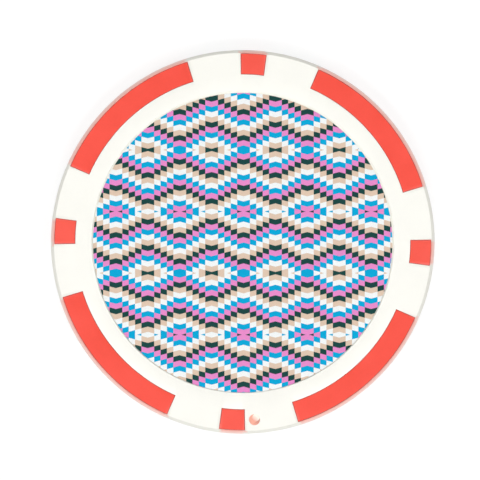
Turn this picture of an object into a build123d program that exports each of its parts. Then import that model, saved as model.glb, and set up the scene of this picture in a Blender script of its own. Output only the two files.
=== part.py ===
"""A poker-chip ball marker: a chip moulded in two shots round a steel weight, with a printed disc let into each face.

Frame: the chip lies flat, +Z up, with the origin at the centre of its lower face. +Y is the top edge of the
printed discs, and the front is the upper face. Sizes are in millimetres and angles in degrees, counterclockwise.
"""
import math
import os

from build123d import *

# The chip
chip_diameter = 39.0
chip_thickness = 3.3
rim_bevel = 0.34  # at 45 degrees, between each flat face and the rim

# The spots: the first shot, left showing in both faces
spot_count = 4  # of each length
spot_width = 2.08  # radial
spot_edge_margin = 0.05  # flat face left outside the spots
long_spot_span = 48.9
short_spot_span = 7.6
spot_turn = -3.3  # of a short spot, from the print's own axes

# The printed discs, each an adhesive, a printed stock and a clear laminate in a shallow recess
face_land = 1.73  # flat ring between the recess and the spots
label_gap = 0.12  # between a disc's edge and the wall of its recess
label_setback = 0.05  # from the flat face down to the laminate
adhesive_thickness = 0.05
stock_thickness = 0.1
laminate_thickness = 0.05

# The steel weight, and the carrier ring that joins the spots and grips the weight by its edge
carrier_web = 3.03  # from the weight's edge out to the spots
carrier_margin = 0.4  # the carrier ends this far inside the spots' outer edge
face_cover = 0.5  # over the weight, between it and a recess floor

# The gate where the first shot was fed, a stub on the carrier that shows as a crescent in the front face
gate_diameter = 1.16
gate_core_diameter = 0.9  # of the second shot that flowed into the stub
gate_core_offset = 0.18
gate_core_direction = 48.0
gate_step = 7.4  # from the middle of the nearest short spot
gate_spot = 3  # counterclockwise, from the short spot nearest +X

# What follows from them
chip_radius = chip_diameter / 2
spot_outer_radius = chip_radius - rim_bevel - spot_edge_margin
spot_inner_radius = spot_outer_radius - spot_width
recess_radius = spot_inner_radius - face_land
recess_depth = adhesive_thickness + stock_thickness + laminate_thickness + label_setback
label_radius = recess_radius - label_gap
slug_radius = spot_inner_radius - carrier_web
slug_bottom = recess_depth + face_cover
slug_thickness = chip_thickness - 2 * slug_bottom
slug_top = slug_bottom + slug_thickness
carrier_radius = spot_outer_radius - carrier_margin
spot_pitch = 360 / spot_count
gate_angle = spot_turn + gate_spot * spot_pitch + gate_step
gate_radius = (spot_inner_radius + spot_outer_radius) / 2


def polar(radius, angle):
    """The point at a radius and an angle from the chip's axis."""
    return (radius * math.cos(math.radians(angle)), radius * math.sin(math.radians(angle)))


def spot_outline(span):
    """A spot seen from above, centred on +X: a strip of the face ring with radial ends."""
    with BuildSketch() as outline:
        with BuildLine():
            outer = CenterArc((0, 0), spot_outer_radius, -span / 2, span)
            inner = CenterArc((0, 0), spot_inner_radius, -span / 2, span)
            Line(inner @ 0, outer @ 0)
            Line(inner @ 1, outer @ 1)
        make_face()
    return outline.sketch


def keep(builder, name):
    """Labels a finished piece and writes it as the node of that name."""
    builder.part.label = name
    export_step(builder.part, f"parts/{name}.step")


os.makedirs("parts", exist_ok=True)

# Steel weight: a plain blanked disc, sealed in the middle of the chip
with BuildPart() as steel_slug:
    with BuildSketch(Plane.XY.offset(slug_bottom)):
        Circle(slug_radius)
    extrude(amount=slug_thickness)
keep(steel_slug, "steel_slug")

# First shot: the carrier ring round the weight, with long and short spots by turns that reach both faces
short_spot = spot_outline(short_spot_span)
long_spot = spot_outline(long_spot_span)
with BuildPart() as red_spot_ring:
    with BuildSketch(Plane.XY.offset(slug_bottom)):
        Circle(carrier_radius)
        Circle(slug_radius, mode=Mode.SUBTRACT)
    extrude(amount=slug_thickness)
    with BuildSketch(Plane.XY):
        with PolarLocations(0, spot_count, start_angle=spot_turn):
            add(short_spot)
        with PolarLocations(0, spot_count, start_angle=spot_turn + spot_pitch / 2):
            add(long_spot)
    extrude(amount=chip_thickness)
    gate_centre = Vector(*polar(gate_radius, gate_angle))
    with BuildSketch(Plane.XY.offset(slug_top)):
        with Locations(gate_centre):
            Circle(gate_diameter / 2)
        with Locations(gate_centre + Vector(*polar(gate_core_offset, gate_core_direction))):
            Circle(gate_core_diameter / 2, mode=Mode.SUBTRACT)
    extrude(amount=chip_thickness - slug_top)
keep(red_spot_ring, "red_spot_ring")

# Second shot: the body, which fills the chip's outline round the weight and the first shot
with BuildPart() as ivory_body:
    with BuildSketch(Plane.XY):
        Circle(chip_radius)
    extrude(amount=chip_thickness)
    chamfer(ivory_body.edges().filter_by(GeomType.CIRCLE), length=rim_bevel)
    with BuildSketch(Plane.XY.offset(chip_thickness), Plane.XY.offset(recess_depth)):
        Circle(recess_radius)
    extrude(amount=-recess_depth, mode=Mode.SUBTRACT)
    add(steel_slug.part, mode=Mode.SUBTRACT)
    add(red_spot_ring.part, mode=Mode.SUBTRACT)
keep(ivory_body, "ivory_body")

# Printed discs: the same three layers on each face, from the recess floor outwards
label_layers = {"adhesive": adhesive_thickness, "label": stock_thickness, "laminate": laminate_thickness}
recess_floors = {"front": (chip_thickness - recess_depth, 1), "back": (recess_depth, -1)}
for side, (height, outwards) in recess_floors.items():
    for layer, thickness in label_layers.items():
        with BuildPart() as disc:
            with BuildSketch(Plane.XY.offset(height)):
                Circle(label_radius)
            extrude(amount=outwards * thickness)
        keep(disc, f"{side}_{layer}")
        height += outwards * thickness
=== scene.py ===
import math

import bmesh
import bpy
from mathutils import Matrix, Vector


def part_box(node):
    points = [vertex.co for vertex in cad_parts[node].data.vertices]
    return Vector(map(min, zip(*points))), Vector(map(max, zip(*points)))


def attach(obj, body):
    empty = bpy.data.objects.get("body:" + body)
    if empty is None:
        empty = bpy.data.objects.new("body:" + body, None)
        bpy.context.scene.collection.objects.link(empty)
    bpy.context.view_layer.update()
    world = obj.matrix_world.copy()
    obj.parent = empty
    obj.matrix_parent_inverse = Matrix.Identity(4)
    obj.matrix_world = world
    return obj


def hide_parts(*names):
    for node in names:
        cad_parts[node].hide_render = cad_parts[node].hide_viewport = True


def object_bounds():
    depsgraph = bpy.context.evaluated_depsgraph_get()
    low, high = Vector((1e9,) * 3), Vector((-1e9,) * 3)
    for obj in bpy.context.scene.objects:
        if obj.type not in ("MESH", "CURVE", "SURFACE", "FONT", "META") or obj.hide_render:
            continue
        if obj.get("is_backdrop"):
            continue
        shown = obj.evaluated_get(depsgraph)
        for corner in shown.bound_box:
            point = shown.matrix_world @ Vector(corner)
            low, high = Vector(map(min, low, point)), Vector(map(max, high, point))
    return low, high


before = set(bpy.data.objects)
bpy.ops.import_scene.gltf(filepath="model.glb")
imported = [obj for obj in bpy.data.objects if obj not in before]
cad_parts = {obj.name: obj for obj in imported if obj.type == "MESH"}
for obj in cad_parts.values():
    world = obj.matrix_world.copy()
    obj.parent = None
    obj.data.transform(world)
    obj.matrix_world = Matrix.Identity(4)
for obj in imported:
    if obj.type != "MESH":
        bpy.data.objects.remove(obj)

cad_low, cad_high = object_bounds()
scene = bpy.context.scene
MM = 0.001


# ---- Camera ----
# A long lens straight above the chip, with the print's top edge at the top of the view. The chip takes
# four fifths of the view's width and lies a hair right of its middle and below it.
lens_mm, sensor_mm = 200.0, 36.0
view_width = 48.65 * MM  # at the chip's upper face
aim_right, aim_up = -0.283 * MM, 0.19 * MM  # the view's middle, from the chip's
camera = bpy.data.objects.new("camera", bpy.data.cameras.new("camera"))
scene.collection.objects.link(camera)
camera.data.lens = lens_mm
camera.data.sensor_width = sensor_mm
camera.data.clip_start = 10 * MM
camera.location = (aim_right, aim_up, cad_high.z + view_width * lens_mm / sensor_mm)
scene.camera = camera


# ---- First shot: the red spots ----
# One red moulding. A carrier ring grips the steel weight by its edge and holds four long and four
# short spots, by turns, that run right through the chip and show in both of its faces. The resin
# is a filled one with a fine spark-eroded grain, cloudy where the filler has settled.
chip_top = cad_high.z / MM  # outlines are lists of (radius, height) in millimetres
chip_radius = cad_high.x / MM
weight_low, weight_high = (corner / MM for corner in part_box("steel_slug"))
rim_bevel, spot_margin, spot_width, carrier_margin = 0.34, 0.05, 2.08, 0.4
spread = 0.05  # the ivory shrinks this far back from the spots' inner edge and sides
face_edge = chip_radius - rim_bevel
spot_outer = face_edge - spot_margin
spot_inner = spot_outer - spot_width - spread
carrier_radius = spot_outer - carrier_margin
side_spread = 2 * math.degrees(spread / (spot_outer - spot_width / 2))
long_span, short_span, spot_turn = 48.9 + side_spread, 7.6 + side_spread, -3.3
gap_span = (90 - long_span - short_span) / 2
spot_sink = 0.02  # shrinkage leaves the spots this far below the face
spot_softness = 0.08
weld = 0.001 * MM
near = 0.01  # places closer than this count as the same


def sectors():
    """(start angle, span, whether it runs through a spot) of each stretch, once round the chip."""
    start = spot_turn - short_span / 2
    for _ in range(4):
        for span, in_spot in ((short_span, True), (gap_span, False), (long_span, True), (gap_span, False)):
            yield start, span, in_spot
            start += span


def sweep(bm, outline, start, span):
    """Turns an outline about the chip's axis, in steps of about a degree."""
    turn = Matrix.Rotation(math.radians(start), 4, "Z")
    points = [bm.verts.new(turn @ Vector((radius, 0, height)) * MM) for radius, height in outline]
    edges = [bm.edges.new(ends) for ends in zip(points, points[1:])]
    bmesh.ops.spin(
        bm, geom=points + edges, axis=(0, 0, 1), cent=(0, 0, 0),
        angle=math.radians(span), steps=math.ceil(span), use_merge=False,
    )


def moulding(between_spots, through_spots):
    """One closed skin, from the outlines that hold between the spots and those that hold through them."""
    bm = bmesh.new()
    for start, span, in_spot in sectors():
        for outline in through_spots if in_spot else between_spots:
            sweep(bm, outline, start, span)
    bmesh.ops.remove_doubles(bm, verts=bm.verts, dist=weld)
    bmesh.ops.holes_fill(bm, edges=[e for e in bm.edges if e.is_boundary], sides=0)
    bmesh.ops.recalc_face_normals(bm, faces=bm.faces)
    return bm


def soften(bm, width, wanted):
    """Rounds the sharp edges whose ends are both at a wanted radius and height."""
    edges = [
        e for e in bm.edges
        if e.calc_face_angle(0) > math.radians(20)
        and all(wanted(v.co.xy.length / MM, v.co.z / MM) for v in e.verts)
    ]
    bmesh.ops.bevel(
        bm, geom=edges, offset=width * MM, affect="EDGES", segments=2, profile=0.5, material=-1,
    )


def depth(height):
    """How far a height lies below the nearer of the chip's two faces."""
    return min(height, chip_top - height)


def in_a_face(radius, height):
    """Whether a point lies in the chip's upper or lower face, give or take what the spots are sunk."""
    return depth(height) < 2 * spot_sink


def tint(piece, tint_of):
    """Gives each point the tint that its resin's colour is multiplied by, from its place in millimetres."""
    layer = piece.data.attributes.new("tint", "FLOAT_COLOR", "POINT")
    for vert, item in zip(piece.data.vertices, layer.data):
        item.color = (*tint_of(vert.co / MM), 1.0)


def object_from(bm, name):
    """Makes the bmesh an object."""
    mesh = bpy.data.meshes.new(name)
    bm.to_mesh(mesh)
    bm.free()
    piece = bpy.data.objects.new(name, mesh)
    scene.collection.objects.link(piece)
    return piece


def crisp(piece):
    """Shades a piece smooth, with crisp edges and flats that stay flat."""
    piece.data.shade_smooth()
    piece.data.set_sharp_from_angle(angle=math.radians(40))
    piece.modifiers.new("flat flats", "WEIGHTED_NORMAL").keep_sharp = True


def join(tree, source, socket):
    """Feeds a socket from a node's output, or sets it to a plain value."""
    if isinstance(source, bpy.types.NodeSocket):
        tree.links.new(source, socket)
    else:
        socket.default_value = source


def node(tree, kind, settings=None, **inputs):
    """A new node, with its own settings, and its inputs by name (an underscore for a space)."""
    made = tree.nodes.new(kind)
    for key, value in (settings or {}).items():
        setattr(made, key, value)
    for key, source in inputs.items():
        join(tree, source, made.inputs[key.replace("_", " ")])
    return made


def maths(tree, operation, *operands):
    """The output of a math node, whose operands are numbers or other outputs."""
    made = tree.nodes.new("ShaderNodeMath")
    made.operation = operation
    for source, socket in zip(operands, made.inputs):
        join(tree, source, socket)
    return made.outputs[0]


def new_group(name, inputs, outputs):
    """A shader node group, with (kind, usual value) of each input and the kind of each output."""
    group = bpy.data.node_groups.new(name, "ShaderNodeTree")
    for title, (kind, value) in inputs.items():
        socket = group.interface.new_socket(title, in_out="INPUT", socket_type="NodeSocket" + kind)
        socket.default_value = value
    for title, kind in outputs.items():
        group.interface.new_socket(title, in_out="OUTPUT", socket_type="NodeSocket" + kind)
    return group, group.nodes.new("NodeGroupInput").outputs, group.nodes.new("NodeGroupOutput").inputs


# The group's sizes are in millimetres. Tone is about 1 and multiplies a colour.
grain_share = 0.6  # how much the grain tells in the tone, against the clouds
resin, taken, given = new_group(
    "filled resin",
    {
        "Grain Size": ("Float", 0.16), "Cloud Size": ("Float", 2.4), "Cloudiness": ("Float", 0.05),
        "Mean Roughness": ("Float", 0.45),
    },
    {"Tone": "Float", "Roughness": "Float", "Height": "Float"},
)
place = node(resin, "ShaderNodeTexCoord").outputs["Object"]
grain_scale = maths(resin, "DIVIDE", 1 / MM, taken["Grain Size"])
cloud_scale = maths(resin, "DIVIDE", 1 / MM, taken["Cloud Size"])
grain = node(resin, "ShaderNodeTexNoise", Vector=place, Scale=grain_scale, Detail=3.0).outputs[0]
cloud = node(resin, "ShaderNodeTexNoise", Vector=place, Scale=cloud_scale, Detail=5.0).outputs[0]
mixed = maths(resin, "MULTIPLY_ADD", grain, grain_share, cloud)
swing = maths(resin, "SUBTRACT", mixed, (1 + grain_share) / 2)
join(resin, maths(resin, "MULTIPLY_ADD", swing, taken["Cloudiness"], 1.0), given["Tone"])
cloud_share = maths(resin, "SUBTRACT", cloud, 0.5)
join(resin, maths(resin, "MULTIPLY_ADD", cloud_share, 0.2, taken["Mean Roughness"]), given["Roughness"])
join(resin, grain, given["Height"])


def resin_material(name, colour, cloudiness, roughness):
    """Moulded resin, grainy, cloudy and multiplied by the piece's tint."""
    material = bpy.data.materials.new(name)
    material.use_nodes = True
    tree = material.node_tree
    finish = node(
        tree, "ShaderNodeGroup", {"node_tree": resin}, Cloudiness=cloudiness, Mean_Roughness=roughness,
    )
    toned = node(tree, "ShaderNodeVectorMath", {"operation": "SCALE"}, Scale=finish.outputs["Tone"])
    toned.inputs[0].default_value = colour
    own_tint = node(tree, "ShaderNodeAttribute", {"attribute_name": "tint"})
    tinted = node(tree, "ShaderNodeVectorMath", {"operation": "MULTIPLY"})
    join(tree, toned.outputs[0], tinted.inputs[0])
    join(tree, own_tint.outputs["Color"], tinted.inputs[1])
    grainy = node(tree, "ShaderNodeBump", Strength=0.35, Distance=0.01 * MM, Height=finish.outputs["Height"])
    shader = tree.nodes["Principled BSDF"]
    join(tree, tinted.outputs[0], shader.inputs["Base Color"])
    join(tree, finish.outputs["Roughness"], shader.inputs["Roughness"])
    join(tree, grainy.outputs[0], shader.inputs["Normal"])
    return material


carrier_between = [
    (weight_high.x, weight_low.z), (spot_inner, weight_low.z), (carrier_radius, weight_low.z),
    (carrier_radius, weight_high.z), (spot_inner, weight_high.z), (weight_high.x, weight_high.z),
    (weight_high.x, weight_low.z),
]
carrier_through = [
    (weight_high.x, weight_low.z), (spot_inner, weight_low.z), (spot_inner, spot_sink),
    (spot_outer, spot_sink), (spot_outer, chip_top - spot_sink), (spot_inner, chip_top - spot_sink),
    (spot_inner, weight_high.z), (weight_high.x, weight_high.z), (weight_high.x, weight_low.z),
]
red = moulding([carrier_between], [carrier_through])
soften(red, spot_softness, in_a_face)
red_spots = object_from(red, "red_edge_spots")
red_spots.data.materials.append(resin_material("spot red", (0.89, 0.075, 0.048), 0.12, 0.35))


# ---- The gate stub ----
# The red shot was fed through a stub that stands on the carrier between two spots. The second shot
# flowed into it and left a crescent, which shows through a smear of ivory in the floor of the small
# dimple where the gate was sheared off.
gate_radius, core_radius, core_offset, core_direction = 0.58, 0.37, 0.25, 55.0
gate_angle = spot_turn + 3 * 90 + 7.1
dimple_depth, dimple_slope = 0.05, 0.04
stub_root = 0.1  # how far the stub reaches into the carrier
stub_rise = 0.01  # and how far its torn end stands out of the dimple's floor
flat, seam_painted_shade = (1.0, 1.0, 1.0), (0.4, 0.5, 0.55)  # the spots' edges, where they turn down into the seam, carry painted shade
short_spot_flat = (1.0, 1.19, 1.26)  # the short spots fill last and come out paler
tip_painted_shade = (0.7, 0.65, 0.68)  # painted shade darkens the crescent at its right-hand tip, as if shaded by the dimple's wall


def polar(radius, angle):
    """A place in the chip's plane, from its axis."""
    return Vector((radius * math.cos(math.radians(angle)), radius * math.sin(math.radians(angle)), 0))


def disc(low, high, radius, top_radius=None, centre=Vector((0, 0, 0)), segments=64):
    """A closed disc or cone frustum between two heights."""
    bm = bmesh.new()
    bmesh.ops.create_cone(
        bm, cap_ends=True, segments=segments, radius1=radius * MM, radius2=(top_radius or radius) * MM,
        depth=(high - low) * MM, matrix=Matrix.Translation((centre + Vector((0, 0, (low + high) / 2))) * MM),
    )
    return bm


def combine(piece, tool, operation):
    """Cuts a tool out of a piece, or adds it, with a boolean that is applied at once."""
    boolean = piece.modifiers.new(tool.name, "BOOLEAN")
    boolean.operation, boolean.object, boolean.solver = operation, tool, "EXACT"
    evaluated = piece.evaluated_get(bpy.context.evaluated_depsgraph_get())
    piece.data = bpy.data.meshes.new_from_object(evaluated)
    piece.modifiers.remove(boolean)


def at_gate(place):
    """Whether a place is in the gate's dimple, or over or under it."""
    return (place.xy - gate_centre.xy).length < gate_radius + dimple_slope + near


gate_centre = polar((spot_inner + spot_outer) / 2, gate_angle)
dimple_floor = chip_top - dimple_depth
dimple = disc(
    dimple_floor, chip_top + dimple_depth,
    gate_radius - dimple_slope, gate_radius + dimple_slope, centre=gate_centre,
)
soften(dimple, 0.04, lambda radius, height: height < chip_top)
dimple = object_from(dimple, "gate dimple")
stub = object_from(
    disc(
        weight_high.z - stub_root, dimple_floor + stub_rise, gate_radius - dimple_slope, centre=gate_centre,
    ),
    "gate stub",
)
core = object_from(
    disc(0, chip_top, core_radius, centre=gate_centre + polar(core_offset, core_direction)), "gate core",
)
combine(stub, core, "DIFFERENCE")
red_spots.data.materials.append(resin_material("smeared red", (0.90, 0.41, 0.303), 0.3, 0.35))
for face in stub.data.polygons:
    face.material_index = 1
combine(red_spots, stub, "UNION")


def red_tint(place):
    """Painted shade where the spots turn down into the seams, pale on the short spots, painted shade at one
    tip of the gate's crescent.
    """
    if at_gate(place):
        # painted shade: the crescent's right-hand tip is darkened
        return tip_painted_shade if place.x > gate_centre.x + gate_radius / 2 else flat
    if depth(place.z) > spot_sink + near / 10:
        # painted shade: the spots darken where they turn down into the seam
        return seam_painted_shade
    around = math.degrees(math.atan2(place.y, place.x))
    return short_spot_flat if (around - spot_turn + short_span) % 90 < 2 * short_span else flat


tint(red_spots, red_tint)
crisp(red_spots)
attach(red_spots, "root")
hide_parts("red_spot_ring")


# ---- Second shot: the ivory body ----
# The ivory resin fills the chip's outline round the weight and the red shot. Its skin is thin outside
# the spots, which show through the rim there as a blush. The mould parts round the middle of the rim,
# and each face has a shallow round recess for a printed disc.
land = 1.73  # the ivory between the spots and a recess
recess_radius = spot_outer - spot_width - land
recess_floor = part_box("front_adhesive")[0].z / MM
parting_ridge, parting_half, parting_slope = 0.025, 0.03, 0.03
rim_radius = chip_radius - parting_ridge  # the parting line alone stands out to the full radius
middle = chip_top / 2


def both_faces(outline):
    """An outline from the upper half of the chip, carried on into the lower half turned over."""
    return outline + [(radius, chip_top - height) for radius, height in reversed(outline)]


plate = [(0, recess_floor), (recess_radius, recess_floor), (recess_radius, chip_top), (spot_inner, chip_top)]
rim = [
    (spot_outer, chip_top), (face_edge, chip_top), (rim_radius, chip_top - rim_bevel),
    (rim_radius, middle + parting_half + parting_slope), (chip_radius, middle + parting_half),
]
cavity = [(0, weight_high.z), (spot_inner, weight_high.z), (carrier_radius, weight_high.z)]
plate_through = plate + [(spot_inner, weight_high.z), (0, weight_high.z)]
body = moulding(
    [both_faces(plate + rim), both_faces(cavity)],
    [
        plate_through,
        [(radius, chip_top - height) for radius, height in plate_through],
        both_faces(rim) + rim[:1],
    ],
)
for width, inner, outer in (
    (0.04, spot_inner, spot_outer),  # the windows that the spots fill
    (0.05, recess_radius, recess_radius),  # the recesses' mouths
):
    soften(
        body, width,
        lambda radius, height: in_a_face(radius, height) and inner - near < radius < outer + near,
    )
soften(body, 0.08, lambda radius, height: radius > face_edge + near and abs(height - middle) > middle / 2)
bevel_painted_shade = (0.875, 0.875, 0.86)  # painted shade greys the bevel and its edge, between the spots
blushing, bleeding = (1.0, 0.72, 0.70), (1.0, 0.5, 0.46)  # the rim over a spot, and the spots' seams
stained, clean = (1.0, 0.48, 0.41), (1.0, 0.98, 0.92)  # the gate's dimple, by its crescent and away from it
stain_fade = 0.42


def dimple_tint(place):
    """From stained at the crescent's inner edge to clean across the dimple."""
    away = (place - gate_centre).xy.dot(polar(1, core_direction).xy) - (core_offset - core_radius)
    return Vector(stained).lerp(Vector(clean), min(max(away / stain_fade, 0), 1))


def ivory_tint(place):
    """Greyed on the bevel by painted shade, and reddened where the ivory is thin over the red."""
    around = math.degrees(math.atan2(place.y, place.x))
    in_line = any(in_spot and (around - start) % 360 <= span for start, span, in_spot in sectors())
    if place.xy.length > face_edge + near:
        if in_line:
            return blushing
        # painted shade greys the bevel between the spots
        return bevel_painted_shade if depth(place.z) < rim_bevel + near else flat
    if place.xy.length > spot_outer + near:
        # painted shade greys the face's edge in front of the bevel, between the spots
        return bleeding if in_line else bevel_painted_shade
    if place.xy.length < spot_inner - near or depth(place.z) < near / 10:
        return flat
    return dimple_tint(place) if at_gate(place) else bleeding


ivory_body = object_from(body, "ivory_chip_body")
combine(ivory_body, dimple, "DIFFERENCE")
combine(ivory_body, stub, "DIFFERENCE")
for face in ivory_body.data.polygons:
    face.material_index = 0
tint(ivory_body, ivory_tint)
ivory_body.data.materials.append(resin_material("body ivory", (0.90, 0.89, 0.83), 0.04, 0.4))
crisp(ivory_body)
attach(ivory_body, "root")
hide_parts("ivory_body")
for tool in (dimple, stub, core):
    bpy.data.objects.remove(tool)


# ---- Printed discs ----
# Each recess holds a die-cut disc of white stock, stuck down by a film of clear adhesive, printed with
# stepped zigzags in four inks and covered by a clear gloss laminate. The stock's cut edge stays white.
column, cell = 0.647, 0.5301  # width and height of one printed cell
columns_to_turn, cells_to_turn = 5, 11.782  # before the pattern turns back on itself, across and up
pattern_left, pattern_foot = 0.0755, -3.1693  # where a repeat of the pattern begins
cell_lean = 0.329  # how far a cell leans over its own width, in cells
band_start = 0.867  # height of the first band above the pattern's origin, in cells
laminate_lift = 0.003  # the ink's thickness, between the stock and its laminate
stuck_at = Vector((-0.01, -0.08, 0))  # the discs are stuck in a hair low, inside the gap round them
inks = {
    "process blue": (0.004, 0.38, 0.655), "pink": (0.77, 0.264, 0.574),
    "bottle green": (0.0135, 0.063, 0.058), "tan": (0.71, 0.552, 0.431), "bare white": (0.85, 0.88, 0.88),
}


def principled(name, colour, roughness, specular=0.5):
    """A new material with a plain start, and its tree and shader."""
    material = bpy.data.materials.new(name)
    material.use_nodes = True
    shader = material.node_tree.nodes["Principled BSDF"]
    shader.inputs["Base Color"].default_value = (*colour, 1.0)
    shader.inputs["Roughness"].default_value = roughness
    shader.inputs["Specular IOR Level"].default_value = specular
    return material, material.node_tree, shader


def mottle(tree, size, low, high, detail=3.0):
    """A noise between two values, with patches of about that many millimetres."""
    place = node(tree, "ShaderNodeTexCoord").outputs["Object"]
    noise = node(tree, "ShaderNodeTexNoise", Vector=place, Scale=1 / (size * MM), Detail=detail)
    return maths(tree, "MULTIPLY_ADD", noise.outputs["Fac"], high - low, low)


printed, tree, shader = principled("printed face", (1, 1, 1), 0.55, 0.0)
place = node(tree, "ShaderNodeSeparateXYZ", Vector=node(tree, "ShaderNodeTexCoord").outputs["Object"])
cells_across = maths(tree, "MULTIPLY_ADD", place.outputs["X"], 1 / (column * MM), -pattern_left / column)
cells_up = maths(tree, "MULTIPLY_ADD", place.outputs["Y"], 1 / (cell * MM), -pattern_foot / cell)
across = maths(tree, "PINGPONG", cells_across, columns_to_turn)
up = maths(tree, "PINGPONG", cells_up, cells_to_turn)
leaning = maths(tree, "MULTIPLY_ADD", across, cell_lean, up)
stepped = maths(tree, "SUBTRACT", leaning, maths(tree, "FLOOR", across))
band = maths(tree, "FLOOR", maths(tree, "SUBTRACT", stepped, band_start - 1))
ink_share = maths(tree, "FRACT", maths(tree, "MULTIPLY_ADD", band, 1 / len(inks), 0.5 / len(inks)))
palette = node(tree, "ShaderNodeValToRGB", Fac=ink_share)
palette.color_ramp.interpolation = "CONSTANT"
while len(palette.color_ramp.elements) < len(inks):
    palette.color_ramp.elements.new(1.0)
for order, colour in enumerate(inks.values()):
    palette.color_ramp.elements[order].position = order / len(inks)
    palette.color_ramp.elements[order].color = (*colour, 1.0)
laid = node(tree, "ShaderNodeVectorMath", {"operation": "SCALE"}, Scale=mottle(tree, 0.09, 0.94, 1.04))
join(tree, palette.outputs["Color"], laid.inputs[0])
join(tree, laid.outputs[0], shader.inputs["Base Color"])
join(tree, mottle(tree, 0.5, 0.45, 0.65), shader.inputs["Roughness"])

bare_stock, tree, shader = principled("bare stock", (0.9, 0.9, 0.88), 0.8, 0.3)
fibres = node(tree, "ShaderNodeBump", Strength=0.4, Distance=0.005 * MM, Height=mottle(tree, 0.04, 0, 1))
join(tree, fibres.outputs[0], shader.inputs["Normal"])
join(tree, mottle(tree, 0.1, 0.7, 0.9), shader.inputs["Roughness"])

laminate = bpy.data.materials.new("clear laminate")
laminate.use_nodes = True
tree = laminate.node_tree
tree.nodes.remove(tree.nodes["Principled BSDF"])
ripple = node(tree, "ShaderNodeBump", Strength=0.15, Distance=0.01 * MM, Height=mottle(tree, 0.8, 0, 1))
gloss = node(tree, "ShaderNodeBsdfGlossy", Roughness=0.12, Normal=ripple.outputs[0])
mirrored = node(tree, "ShaderNodeFresnel", IOR=1.49, Normal=ripple.outputs[0])
outside = maths(tree, "SUBTRACT", 1.0, node(tree, "ShaderNodeNewGeometry").outputs["Backfacing"])
film = node(tree, "ShaderNodeMixShader", Fac=maths(tree, "MULTIPLY", mirrored.outputs[0], outside))
join(tree, node(tree, "ShaderNodeBsdfTransparent").outputs[0], film.inputs[1])
join(tree, gloss.outputs[0], film.inputs[2])
join(tree, film.outputs[0], tree.nodes["Material Output"].inputs["Surface"])

adhesive, tree, shader = principled("clear adhesive", (0.86, 0.85, 0.78), 0.3)
join(tree, mottle(tree, 0.3, 0.2, 0.5), shader.inputs["Roughness"])

for side, outwards in (("front", 1), ("back", -1)):
    low, high = (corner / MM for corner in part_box(side + "_label"))
    stock = disc(low.z, high.z, high.x, centre=stuck_at, segments=256)
    for face in stock.faces:
        face.material_index = 0 if face.normal.z * outwards > 0.5 else 1
    stock = object_from(stock, side + "_printed_stock")
    stock.data.materials.append(printed)
    stock.data.materials.append(bare_stock)
    crisp(stock)
    low, high = (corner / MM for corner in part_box(side + "_laminate"))
    if outwards > 0:
        low.z += laminate_lift
    else:
        high.z -= laminate_lift
    film = disc(low.z, high.z, high.x, centre=stuck_at, segments=256)
    film = object_from(film, side + "_clear_laminate")
    film.data.materials.append(laminate)
    crisp(film)
    for piece, cad_node, slot in ((stock, "_label", "label_stock"), (film, "_laminate", "label_laminate")):
        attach(piece, "root")
        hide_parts(side + cad_node)
    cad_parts[side + "_adhesive"].material_slots[0].material = adhesive


# ---- Steel weight ----
# A disc blanked from sheet and zinc plated, sealed inside the chip, so it is only seen in a section.
plated, tree, shader = principled("zinc plate", (0.62, 0.63, 0.64), 0.35)
shader.inputs["Metallic"].default_value = 1.0
join(tree, mottle(tree, 1.5, 0.28, 0.5, 6.0), shader.inputs["Roughness"])
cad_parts["steel_slug"].material_slots[0].material = plated


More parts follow.
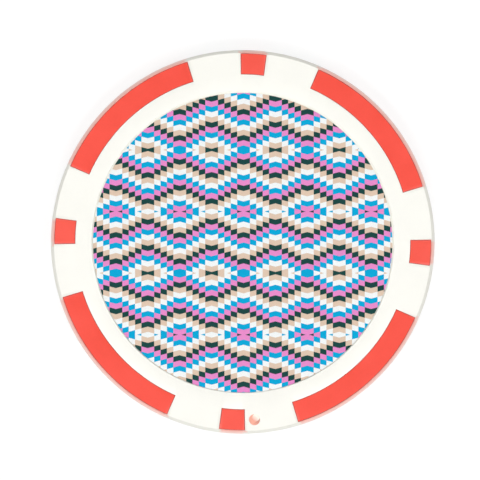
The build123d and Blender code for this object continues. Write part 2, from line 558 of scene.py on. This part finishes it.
# ---- Studio ----
# A white light table, under a ring of eight soft boxes high above it, the strongest on the near
# side, with a little light from all round.
table_radius, table_drop = 2500 * MM, 0.004 * MM  # the drop keeps it clear of the chip's underside
floor_mesh = bmesh.new()
bmesh.ops.create_circle(floor_mesh, cap_ends=True, segments=96, radius=table_radius)
floor = object_from(floor_mesh, "light table")
floor.location.z = cad_low.z - table_drop
table_top, tree, shader = principled("opal table top", (0.31, 0.31, 0.31), 0.9, 0.0)
shader.inputs["Emission Color"].default_value = (1, 1, 1, 1)
shader.inputs["Emission Strength"].default_value = 0.72
floor.data.materials.append(table_top)
floor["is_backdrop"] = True

box_distance, box_size, box_lean, mean_watts, near_share = 800 * MM, 200 * MM, 33.0, 0.985, 0.52
for azimuth in range(0, 360, 45):
    name = f"soft box {azimuth}"
    lamp = bpy.data.objects.new(name, bpy.data.lights.new(name, "AREA"))
    scene.collection.objects.link(lamp)
    lamp.data.size = box_size
    lamp.data.energy = mean_watts * (1 - near_share * math.sin(math.radians(azimuth)))
    turn = Matrix.Rotation(math.radians(azimuth), 4, "Z") @ Matrix.Rotation(math.radians(box_lean), 4, "Y")
    lamp.location = turn @ Vector((0, 0, box_distance))
    lamp.rotation_euler = turn.to_euler()

ambient_light, seen_wall = 0.08, 0.74
mirrored_ceiling, mirrored_wall, wall_falloff = 0.05, 0.85, 1.5  # what the gloss mirrors, by height
world = bpy.data.worlds.new("studio")
scene.world = world
world.use_nodes = True
tree = world.node_tree
ambient = tree.nodes["Background"]
ambient.inputs["Color"].default_value = (1, 1, 1, 1)
ambient.inputs["Strength"].default_value = ambient_light
towards = node(tree, "ShaderNodeTexCoord").outputs["Generated"]
upwards = maths(tree, "ABSOLUTE", node(tree, "ShaderNodeSeparateXYZ", Vector=towards).outputs["Z"])
wall = maths(tree, "POWER", maths(tree, "SUBTRACT", 1.0, upwards), wall_falloff)
mirrored_light = maths(tree, "MULTIPLY_ADD", wall, mirrored_wall, mirrored_ceiling)
mirrored = node(tree, "ShaderNodeBackground", Strength=mirrored_light)
seen = node(tree, "ShaderNodeBackground", Strength=seen_wall)
for background in (mirrored, seen):
    background.inputs["Color"].default_value = (1, 1, 1, 1)
path = node(tree, "ShaderNodeLightPath")
unlit = node(tree, "ShaderNodeMixShader", Fac=path.outputs["Is Glossy Ray"])
either = node(tree, "ShaderNodeMixShader", Fac=path.outputs["Is Camera Ray"])
join(tree, ambient.outputs[0], unlit.inputs[1])
join(tree, mirrored.outputs[0], unlit.inputs[2])
join(tree, unlit.outputs[0], either.inputs[1])
join(tree, seen.outputs[0], either.inputs[2])
join(tree, either.outputs[0], tree.nodes["World Output"].inputs["Surface"])
scene.view_settings.view_transform = "Standard"

low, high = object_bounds()
